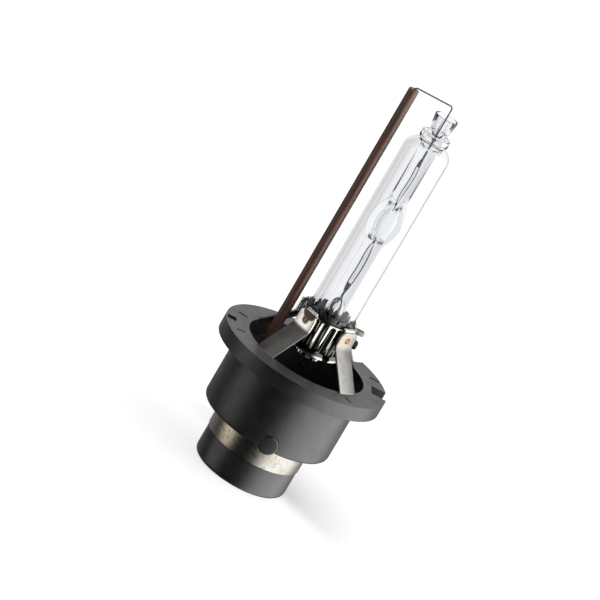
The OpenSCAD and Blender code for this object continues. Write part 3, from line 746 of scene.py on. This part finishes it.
# ------------------------------------------------------- electrodes, foils, leads
# Tungsten electrodes are welded to molybdenum foils thinner than paper, whose etched edges let
# the quartz seal on them, and the foils are welded to molybdenum leads. The upper lead runs
# over to the ceramic tube, and the lower one has a small loop that takes up its growth.
ELECTRODE_R, ELECTRODE_ROOT, FOIL_HIGH, FOIL_LOW = 0.15, 4.0, 66.7, 38.6
FOIL_W, FOIL_T, FOIL_SWAY, ETCHED_FROM = 1.5, 0.05, 0.05, 0.34
FOIL_TURN = {"upper": 60, "lower": 50}


def drawn_metal(name, bright, dark, roughness):
    material, tree, shader, point = new_material(name, bright, roughness, 1.0)
    streaks = noise(tree, point, 2.0, 4, (2, 2, 0.5))
    tree.links.new(two_colours(tree, streaks, bright, dark), shader.inputs["Base Color"])
    tree.links.new(spread(tree, streaks, 0.3, 0.7, roughness - 0.08, roughness + 0.1),
                   shader.inputs["Roughness"])
    return material


tungsten = drawn_metal("tungsten_rod", (0.16, 0.16, 0.17), (0.06, 0.06, 0.065), 0.35)
for name, side in (("upper", 1), ("lower", -1)):
    low, high = sorted((ARC_Z + side * ARC_GAP / 2, ARC_Z + side * ELECTRODE_ROOT))
    rod = spun([(0, low), (ELECTRODE_R, low), (ELECTRODE_R, high), (0, high)], 24)
    round_edges(rod, 0.05, segments=2, sharper=50)
    piece("tungsten_" + name, rod, tungsten, "tungsten", name + "_electrode")

foil_metal, tree, shader, point = new_material("molybdenum_foil", (0.5, 0.5, 0.51), 0.3, 1.0)
tree.links.new(two_colours(tree, noise(tree, point, 2.5, 4), (0.93, 0.93, 0.95), (0.7, 0.7, 0.72)),
               shader.inputs["Base Color"])
etched, tree, shader, point = new_material("etched_edge", (0.08, 0.08, 0.085), 0.5, 1.0)
pits = noise(tree, point, 4.0, 4)
tree.links.new(two_colours(tree, pits, (0.1, 0.1, 0.105), (0.03, 0.03, 0.032)),
               shader.inputs["Base Color"])
for name, low, high in (("upper", ARC_Z + ELECTRODE_ROOT, FOIL_HIGH),
                        ("lower", FOIL_LOW, ARC_Z - ELECTRODE_ROOT)):
    foil = bmesh.new()
    bmesh.ops.create_grid(foil, x_segments=6, y_segments=40, size=0.5)
    for face in foil.faces:
        face.material_index = 1 if abs(face.calc_center_median().x) > ETCHED_FROM else 0
    turned(foil, 90, "X")
    for v in foil.verts:
        along = v.co.z + 0.5
        leaf = min(1.0, 0.16 + 1.9 * math.sqrt(max(0.0, along * (1 - along))))
        v.co = (v.co.x * FOIL_W * leaf * MM, FOIL_SWAY * math.sin(along * 9) * MM,
                (low + along * (high - low)) * MM)
    turned(foil, FOIL_TURN[name])
    bmesh.ops.recalc_face_normals(foil, faces=foil.faces)
    made = piece(name + "_seal_foil", foil, foil_metal, "molybdenum", name + "_foil")
    made.data.materials.append(etched)
    thick = made.modifiers.new("thickness", "SOLIDIFY")
    thick.thickness = FOIL_T * MM
    thick.offset = 0


def wire(name, points, radius, material, slot, node, bend=0.5):
    """A round wire along straight runs with round bends, as one closed mesh."""
    path = []
    for i, p in enumerate(points):
        p = Vector(p)
        if i in (0, len(points) - 1):
            path.append(p)
            continue
        before, after = (Vector(points[i - 1]) - p), (Vector(points[i + 1]) - p)
        cut = min(bend, before.length / 2, after.length / 2)
        start, end = p + before.normalized() * cut, p + after.normalized() * cut
        path += [start.lerp(p, t).lerp(p.lerp(end, t), t) for t in [k / 6 for k in range(7)]]
    curve = bpy.data.curves.new(name, "CURVE")
    curve.dimensions = "3D"
    curve.bevel_depth = radius * MM
    curve.bevel_resolution = 4
    curve.use_fill_caps = True
    line = curve.splines.new("POLY")
    line.points.add(len(path) - 1)
    for place, p in zip(line.points, path):
        place.co = (*(p * MM), 1)
    thing = bpy.data.objects.new("temporary", curve)
    bpy.context.scene.collection.objects.link(thing)
    bm = bmesh.new()
    bm.from_mesh(thing.evaluated_get(bpy.context.evaluated_depsgraph_get()).to_mesh())
    bpy.data.curves.remove(curve)
    bmesh.ops.remove_doubles(bm, verts=bm.verts, dist=1e-7)
    return piece(name, bm, material, slot, node, smooth=50)


WIRE_R, WIRE_Z, WIRE_FOOT, LEAD_FOOT, TAIL = 0.15, 76.9, 15.0, 11.0, 2.0
molybdenum = drawn_metal("molybdenum_wire", (0.2, 0.2, 0.205), (0.09, 0.09, 0.092), 0.4)
wire("return_lead", [(0.1, -0.06, FOIL_HIGH - TAIL), (0, 0, FOIL_HIGH + 0.2), (0, 0, WIRE_Z),
                     (CERAMIC_X, 0, WIRE_Z), (CERAMIC_X, 0, WIRE_FOOT)],
     WIRE_R, molybdenum, "lead_wire", "return_wire", 0.6)
LOOP_Z, LOOP_WIDE, LOOP_HIGH, LOOP_SWAY = 35.7, 0.8, 1.7, 0.16
loop = [(LOOP_WIDE * math.sin(a), LOOP_SWAY * math.cos(a / 2), LOOP_Z + LOOP_HIGH * math.cos(a))
        for a in [math.radians(18 * k) for k in range(1, 20)]]
wire("high_voltage_lead",
     [(0.12, -0.08, FOIL_LOW + TAIL), (0, 0, FOIL_LOW),
      (0, LOOP_SWAY, LOOP_Z + LOOP_HIGH + 0.3), *loop, (0, -LOOP_SWAY, LOOP_Z + LOOP_HIGH - 0.1),
      (-LOOP_WIDE * 0.8, -0.1, LOOP_Z), (0, 0, LOOP_Z - LOOP_HIGH - 0.4), (0, 0, LEAD_FOOT)],
     WIRE_R, molybdenum, "lead_wire", "lower_lead", 0.4)


# ------------------------------------------------------------------ ceramic tube
# The return lead comes down through an extruded and fired ceramic tube, brown right through.
# Its skin is matt, with faint drag lines along it and a redder stretch in the middle.
CERAMIC_FOOT, CERAMIC_TOP, CERAMIC_BORE = 16.0, 76.5, 0.35
sleeve = spun([(CERAMIC_BORE, CERAMIC_FOOT), (CERAMIC_R, CERAMIC_FOOT), (CERAMIC_R, CERAMIC_TOP),
               (CERAMIC_BORE, CERAMIC_TOP)], 64, (CERAMIC_X, 0))
round_edges(sleeve, 0.1, segments=2)
fired, tree, shader, point = new_material("brown_ceramic", (0.05, 0.026, 0.017), 0.42, ior=1.55)
drag = noise(tree, point, 2.0, 5, (2, 2, 0.12))
cast = spread(tree, noise(tree, point, 0.12, 2), 0.4, 0.6, 0, 1, True)
body = two_colours(tree, cast, (0.07, 0.034, 0.02), (0.1, 0.036, 0.021))
tree.links.new(two_colours(tree, spread(tree, drag, 0.45, 0.75, 0, 1), body, (0.13, 0.07, 0.043)),
               shader.inputs["Base Color"])
tree.links.new(spread(tree, drag, 0.3, 0.7, 0.36, 0.52), shader.inputs["Roughness"])
bump(tree, shader, drag, 0.01, 0.6)
piece("ceramic_sleeve", sleeve, fired, "brown_ceramic", "ceramic_tube")


# ------------------------------------------------------------------------ studio
# A pale floor and a white sweep. A wide soft box lights the keyway side, a narrow one the other
# flank, two weak ones the back, and one hangs overhead. The glass bends a plain white instead,
# with one soft grey screen to shade its flank.
FLOOR_HALF, FLOOR_GLOW, SHADE_REACH = 6.0, 0.87, 24.0
SHADE_SIDE = (0.75, 0.66, 0)
# each: azimuth, elevation, full within, gone beyond (all in degrees), and strength
KEY, FLANK, REAR = (-20, 0, 11, 66, 4.4), (-170, 0, 9, 27, 1.35), (85, 0, 35, 78, 0.42)
RAISED, OVERHEAD, AMBIENT = (90, 35, 15, 48, 0.8), (0, 90, 10, 50, 0.95), (-22, 0, 110, 179, 0.02)
SCREEN, SWEEP = (112, 0, 8, 33, 0.36), 1.22
ground = bmesh.new()
bmesh.ops.create_grid(ground, x_segments=1, y_segments=1, size=FLOOR_HALF)
floor_mesh = bpy.data.meshes.new("floor")
ground.to_mesh(floor_mesh)
ground.free()
floor = bpy.data.objects.new("floor", floor_mesh)
bpy.context.scene.collection.objects.link(floor)
floor.visible_glossy = False
floor.visible_diffuse = False
floor.visible_transmission = False
pale = bpy.data.materials.new("pale_floor")
pale.use_nodes = True
tree = pale.node_tree
tree.nodes.remove(tree.nodes["Principled BSDF"])
glow = tree.nodes.new("ShaderNodeEmission")
glow.inputs["Strength"].default_value = FLOOR_GLOW
occlusion = tree.nodes.new("ShaderNodeAmbientOcclusion")
occlusion.inputs["Distance"].default_value = SHADE_REACH * MM
near_side = tree.nodes.new("ShaderNodeVectorMath")
near_side.operation = "DOT_PRODUCT"
near_side.inputs[1].default_value = SHADE_SIDE
tree.links.new(tree.nodes.new("ShaderNodeTexCoord").outputs["Object"], near_side.inputs[0])
fade = spread(tree, near_side.outputs["Value"], 2 * MM, 9 * MM, 0.12, 1, True)
shade = spread(tree, occlusion.outputs["AO"], 0.3, 0.98, 0.75, 0)
dark = maths(tree, "MULTIPLY", fade, shade)
tree.links.new(two_colours(tree, dark, (1, 1, 1), (0, 0, 0)), glow.inputs["Color"])
matt = tree.nodes.new("ShaderNodeBsdfDiffuse")
matt.inputs["Color"].default_value = (0.2, 0.2, 0.2, 1)
both = tree.nodes.new("ShaderNodeAddShader")
tree.links.new(glow.outputs[0], both.inputs[0])
tree.links.new(matt.outputs[0], both.inputs[1])
tree.links.new(both.outputs[0], tree.nodes["Material Output"].inputs["Surface"])
floor_mesh.materials.append(pale)

scene = bpy.context.scene
sky = bpy.data.worlds.new("studio")
sky.use_nodes = True
scene.world = sky
tree = sky.node_tree
tree.nodes.clear()
direction = tree.nodes.new("ShaderNodeTexCoord").outputs["Generated"]
levelled = tree.nodes.new("ShaderNodeVectorMath")
levelled.operation = "MULTIPLY"
levelled.inputs[1].default_value = (1, 1, 0.35)
tree.links.new(direction, levelled.inputs[0])
unit = tree.nodes.new("ShaderNodeVectorMath")
unit.operation = "NORMALIZE"
tree.links.new(levelled.outputs[0], unit.inputs[0])


def lobe(source, azimuth, elevation, inner, outer, strength):
    """Light from round one direction, full inside one angle from it and gone outside another."""
    towards = tree.nodes.new("ShaderNodeVectorMath")
    towards.operation = "DOT_PRODUCT"
    a, e = math.radians(azimuth), math.radians(elevation)
    towards.inputs[1].default_value = (math.cos(a) * math.cos(e), math.sin(a) * math.cos(e),
                                       math.sin(e))
    tree.links.new(source, towards.inputs[0])
    return spread(tree, towards.outputs["Value"], math.cos(math.radians(outer)),
                  math.cos(math.radians(inner)), 0, strength, True)


total = None
upright = unit.outputs[0]
for source, box in ((upright, KEY), (upright, FLANK), (upright, REAR), (direction, RAISED),
                    (direction, OVERHEAD), (upright, AMBIENT)):
    light = lobe(source, *box)
    total = light if total is None else maths(tree, "ADD", total, light)
lights = tree.nodes.new("ShaderNodeBackground")
tree.links.new(total, lights.inputs["Strength"])
backdrop = tree.nodes.new("ShaderNodeBackground")
backdrop.inputs["Strength"].default_value = 1.0
backdrop.inputs["Color"].default_value = (1, 1, 1, 1)
through = tree.nodes.new("ShaderNodeBackground")
tree.links.new(maths(tree, "SUBTRACT", SWEEP, lobe(upright, *SCREEN)), through.inputs["Strength"])
path = tree.nodes.new("ShaderNodeLightPath")
seen = lights.outputs[0]
for ray, shown in (("Transmission Depth", through), ("Is Camera Ray", backdrop)):
    choice = tree.nodes.new("ShaderNodeMixShader")
    tree.links.new(path.outputs[ray], choice.inputs[0])
    tree.links.new(seen, choice.inputs[1])
    tree.links.new(shown.outputs[0], choice.inputs[2])
    seen = choice.outputs[0]
tree.links.new(seen, tree.nodes.new("ShaderNodeOutputWorld").inputs["Surface"])
scene.view_settings.view_transform = "Standard"


# ------------------------------------------------------------------------ camera
# A long lens from the front, a little to the left and above, rolled so that the bulb leans to
# the right.
AZIMUTH, ELEVATION, ROLL = math.radians(-9.6), math.radians(17.446), math.radians(30.367)
DISTANCE, AIM_Z, AIM_RIGHT = 785.34, 33.06, -5.96
FOCAL, SENSOR, NEAREST, FARTHEST = 270, 36, 0.05, 20
back = Vector((math.sin(AZIMUTH) * math.cos(ELEVATION), -math.cos(AZIMUTH) * math.cos(ELEVATION),
               math.sin(ELEVATION)))
level = Vector((math.cos(AZIMUTH), math.sin(AZIMUTH), 0))
upward = back.cross(level)
right = math.cos(ROLL) * level + math.sin(ROLL) * upward
top = math.cos(ROLL) * upward - math.sin(ROLL) * level
lens = bpy.data.cameras.new("camera")
lens.lens, lens.sensor_width = FOCAL, SENSOR
lens.clip_start, lens.clip_end = NEAREST, FARTHEST
camera = bpy.data.objects.new("camera", lens)
scene.collection.objects.link(camera)
aim = Vector((0, 0, AIM_Z)) + level * AIM_RIGHT
placed = Matrix((right, top, back)).transposed().to_4x4()
placed.translation = (aim + back * DISTANCE) * MM
camera.matrix_world = placed
scene.camera = camera
